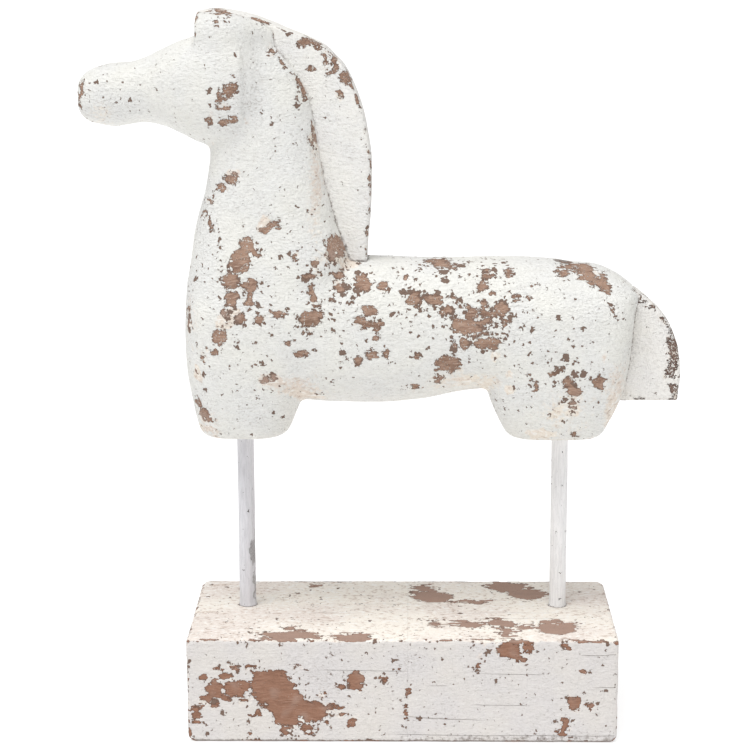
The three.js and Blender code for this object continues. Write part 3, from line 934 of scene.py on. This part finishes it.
def raw_wood():
    """The plain turned wood of the hidden dowels."""
    paint = Paint("raw_wood")
    dark, middle, light = srgb(150, 112, 78), srgb(196, 158, 116), srgb(220, 188, 148)
    colour, streaks = wood_colour(paint, dark, middle, light, grain=(12, 1, 1))
    paint.feed(colour, paint.shader.inputs["Base Color"])
    paint.feed(paint.step(streaks, -0.3, 0.3, 0.6, 0.8), paint.shader.inputs["Roughness"])
    paint.bump(streaks, DOWEL_RELIEF)
    return paint.material


# ------------------------------------------------------------------ pieces


def carved_horse():
    """The body: one carved block, worn on its ridges and most of all on its flank."""
    space = Space(body_low, np.maximum(body_high, mane_high), CARVED_STEP)
    skin = Skin(*surface(space, horse_field(space)))
    points = skin.points
    side = points[:, 1] - middle_y + RAGGED_BORDER * noise(points, 6, 27)
    skin.wear_patches(BODY_PATCHES, UPRIGHT, side < 0, seed=11)
    skin.wear_scatter(side > FAR_SIDE, seed=23, groups=11, each=14, spread=11, biggest=7)
    skin.wear_edges(sharp=0.6, strength=4, seed=31)
    cream = patch_depth(points, CREAM_PATCHES, UPRIGHT, seed=61)
    skin.cream = np.clip(0.5 + cream * 0.35, 0, 1)
    # Cream tints, two of them painted shade on the rump's rear bevel.
    for x, z, half_length, half_height, strength in CREAM_AND_SHADE_TINTS:
        away = ((points[:, 0] - x) / half_length) ** 2 + ((points[:, 2] - z) / half_height) ** 2
        skin.cream = np.maximum(skin.cream, strength * np.exp(-away))
    for x, z, radius, density in PEPPERED:
        near = np.exp(-((points[:, 0] - x) ** 2 + (points[:, 2] - z) ** 2) / radius**2)
        skin.pepper = np.maximum(skin.pepper, density * near)
    # Painted shade along the body's joint with the tail, in place of the shade in the narrow wedge there.
    tail = board_field(at_points(points), TAIL_EDGE, TAIL_ROOT, tail_high[1] - tail_low[1], BOARD_ARRIS)
    skin.shade_and_grime(tail, reach=0.6, strength=0.6)
    # Painted shade and grime round the rods' holes.
    skin.shade_and_grime(rod_distance(points))
    underside = np.clip(-skin.normals[:, 2] - 0.3, 0, 1)
    skin.cream = np.clip(skin.cream + 0.35 * underside, 0, 1)
    skin.soften()
    return place(skin.mesh("carved_horse"), HORSE_PAINT, "horse_paint", "horse_body")


def board(name, node, edge, root, patches, crevice_shade_and_grime, paint, low, high, seed):
    """The mane or the tail: a flat board let into the body, rubbed bare along its free edge."""
    space = Space(low, high, BOARD_STEP)
    field = board_field(space, edge, root, high[1] - low[1], BOARD_ARRIS)
    skin = Skin(*surface(space, field), edge_rounds=8)
    side = skin.points[:, 1] - middle_y + 5 * noise(skin.points, 6, seed + 7)
    skin.wear_patches(patches, UPRIGHT, side < 3, seed)
    skin.wear_scatter(side > 3, seed + 9, groups=4, each=9, spread=8, biggest=5)
    skin.wear_edges(sharp=0.5, strength=6, seed=seed + 20)
    # Painted shade and grime in the crevice where the board meets the body, its strength set by height.
    from_body = horse_field(at_points(skin.points)) - TAIL_GAP
    skin.shade_and_grime(from_body, strength=np.interp(skin.points[:, 2], *crevice_shade_and_grime))
    skin.cream += 0.12
    skin.soften()
    return place(skin.mesh(name), paint, "horse_paint", node)


def base_blocks():
    """The two blocks of the base, made as one so that their paint runs on, then cut at the joint."""
    space = Space(base_low, base_high, BASE_STEP)
    skin = Skin(*surface(space, base_field(space)))
    points, normals = skin.points, skin.normals
    front, top = points[:, 1] < base_low[1] + 4, points[:, 2] > base_top - 3
    skin.wear_patches(FRONT_PATCHES, UPRIGHT, front, seed=71)
    skin.wear_patches(TOP_PATCHES, DEPTHWAYS, top & (normals[:, 2] > 0.5), seed=75, wobble=4)
    skin.wear_scatter(~front & ~top, seed=79, groups=18, each=14, spread=13, biggest=7)
    skin.wear_edges(sharp=0.68, strength=6, seed=83)
    skin.cream = np.clip(0.15 + 0.75 * np.clip(normals[:, 2] * 2 - 0.8, 0, 1), 0, 1)
    # Painted shade and grime round the rods' holes.
    skin.shade_and_grime(rod_distance(points))
    # Painted shade on the rounded lower arris of the front, stronger to the right.
    shaded_foot = np.interp(points[:, 0], (-40, 40), (0.1, 0.5)) * np.exp(-((points[:, 2] - 3) / 3.2) ** 2)
    skin.seam = np.maximum(skin.seam, shaded_foot)
    skin.pepper += 0.1
    # A broken dark line along the back arris of the top: worn arris with painted shade on it.
    arris = np.hypot(points[:, 1] - base_high[1], points[:, 2] - base_top)
    skin.shade_and_grime(arris - 2, 1.1, 0.6 + 0.9 * noise(points, 16, 91))
    # Painted contact shade along the bottom edge and over the underside.
    skin.shade_and_grime(points[:, 2] - 0.8, 1.0)
    skin.soften(reach=8)
    whole = skin.mesh("base")
    for name, node, side in (("base_left", "base_block_left", -1), ("base_right", "base_block_right", 1)):
        half = bmesh.new()
        half.from_mesh(whole)
        cut = bmesh.ops.bisect_plane(
            half, geom=[*half.verts, *half.edges, *half.faces], dist=1e-7,
            plane_co=(joint_x * MM, 0, 0), plane_no=(-side, 0, 0), clear_outer=True)
        rim = [part for part in cut["geom_cut"] if isinstance(part, bmesh.types.BMEdge)]
        bmesh.ops.triangle_fill(half, edges=rim, use_beauty=True, use_dissolve=False)
        mesh = bpy.data.meshes.new(name)
        half.to_mesh(mesh)
        half.free()
        place(mesh, BASE_PAINT, "base_paint", node)


def painted_rod(name, node, seed):
    """A steel rod under brushed paint, thickened a little where it enters the wood."""
    low, high = rod_boxes[node]
    centre, radius = rods[node]
    space = Space(low, high, ROD_STEP, margin=2)
    field = bar(space.x - centre[0], space.y - centre[1], space.z, radius, low[2], high[2])
    skin = Skin(*surface(space, field))
    height = skin.points[:, 2]
    flakes = [(centre[0] + off_axis, *rest) for off_axis, *rest in ROD_PATCHES.get(node, ())]
    skin.wear_patches(flakes, UPRIGHT, skin.points[:, 1] < centre[1], seed)
    # Painted shade and grime where the rod enters the base and the leg.
    skin.shade_and_grime(np.abs(height - base_top), 0.7)
    skin.shade_and_grime(sole_z - height, 0.7)
    skin.pepper += 0.55
    skin.cream += ROD_GREYNESS[node]
    rounded = ((skin.points - centre) * (1, 1, 0)) / radius
    foot = 0.5 * np.exp(-np.abs(height - base_top) / 1.6)
    runs = 0.18 * noise(skin.points * (1, 1, 0.12), 3.2, seed)
    skin.points = skin.points + rounded * (foot + runs)[:, None]
    return place(skin.mesh(name), ROD_PAINT, "rod_paint", node)


HORSE_PAINT = whitewash("horse_paint")
# The mane's and tail's whites are lighter than the body's: painted light that makes up for the shade the
# recessed boards get from the body.
MANE_PAINT_LIGHTENED = whitewash("mane_paint", white=(243, 241, 235))
TAIL_PAINT_LIGHTENED = whitewash("tail_paint", white=(241, 238, 232), wood=(128, 105, 93), crumbs=0.02, upright=6)
BASE_PAINT = whitewash("base_paint", white=(223, 218, 213), cream=(243, 236, 226), wood=(157, 117, 96),
                       crumbs=0.24, cracks=0.6, strokes=0.65, figure=0.5)
ROD_PAINT = rod_paint()
RAW_WOOD = raw_wood()

carved_horse()
board("mane_board", "mane", MANE_EDGE, MANE_ROOT, MANE_PATCHES, MANE_SEAM, MANE_PAINT_LIGHTENED,
      mane_low, mane_high, seed=101)
board("tail_board", "tail", TAIL_EDGE, TAIL_ROOT, TAIL_PATCHES, TAIL_SEAM, TAIL_PAINT_LIGHTENED,
      tail_low, tail_high, seed=131)
base_blocks()
painted_rod("rod_front", "front_rod", seed=151)
painted_rod("rod_rear", "rear_rod", seed=157)
for name in dowel_boxes:
    bpy.data.objects[name].material_slots[0].material = RAW_WOOD

# ------------------------------------------------------------------ floor, light and camera


FLOOR_SIZE = 60
FLOOR_GREY = 0.5
FLOOR_GLOW = 0.6
ROOM_SHINE = 0.5  # how strongly the white room lights the object, where 1 is how bright it looks
KEY_STRENGTH = 2.5
KEY_WIDTH = 50
KEY_TURN = (18, -11, 0)
LENS = 107
SENSOR = 36
CAMERA_PLACE = (0.0039, -1.2921, 0.4942)
CAMERA_DOWN, CAMERA_ROLL, CAMERA_LEFT = 12.44, 0.16, 0.86


def floor():
    """A plain white floor that glows a little, as a light table does, so its shadows stay faint."""
    half = FLOOR_SIZE / 2
    corners = [(-half, -half, 0), (half, -half, 0), (half, half, 0), (-half, half, 0)]
    mesh = bpy.data.meshes.new("floor")
    mesh.from_pydata(corners, [], [(0, 1, 2, 3)])
    paint = Paint("floor")
    paint.shader.inputs["Base Color"].default_value = (FLOOR_GREY, FLOOR_GREY, FLOOR_GREY, 1)
    paint.shader.inputs["Roughness"].default_value = 1
    paint.shader.inputs["Emission Color"].default_value = (1, 1, 1, 1)
    paint.shader.inputs["Emission Strength"].default_value = FLOOR_GLOW
    mesh.materials.append(paint.material)
    piece = bpy.data.objects.new("floor", mesh)
    bpy.context.scene.collection.objects.link(piece)


def light():
    """A white room that looks brighter than it shines, and one very soft lamp high on the left in front."""
    world = bpy.data.worlds.new("room")
    bpy.context.scene.world = world
    world.use_nodes = True
    nodes, links = world.node_tree.nodes, world.node_tree.links
    strength = nodes.new("ShaderNodeMath")
    strength.operation = "MULTIPLY_ADD"
    strength.inputs[1].default_value = 1 - ROOM_SHINE
    strength.inputs[2].default_value = ROOM_SHINE
    links.new(nodes.new("ShaderNodeLightPath").outputs["Is Camera Ray"], strength.inputs[0])
    links.new(strength.outputs[0], nodes["Background"].inputs["Strength"])
    nodes["Background"].inputs["Color"].default_value = (1, 1, 1, 1)
    lamp = bpy.data.lights.new("key", "SUN")
    lamp.energy = KEY_STRENGTH
    lamp.angle = math.radians(KEY_WIDTH)
    piece = bpy.data.objects.new("key", lamp)
    piece.rotation_euler = [math.radians(turn) for turn in KEY_TURN]
    bpy.context.scene.collection.objects.link(piece)
    bpy.context.scene.view_settings.view_transform = "Standard"


def camera():
    """The photograph's view: from the front, a little above, with a long lens."""
    view = bpy.data.cameras.new("camera")
    view.sensor_width = SENSOR
    view.lens = LENS
    view.clip_end = 200
    piece = bpy.data.objects.new("camera", view)
    piece.location = CAMERA_PLACE
    piece.rotation_mode = "XYZ"
    down, roll, left = (math.radians(turn) for turn in (CAMERA_DOWN, CAMERA_ROLL, CAMERA_LEFT))
    piece.rotation_euler = (math.pi / 2 - down, roll, left)
    bpy.context.scene.collection.objects.link(piece)
    bpy.context.scene.camera = piece


floor()
light()
camera()
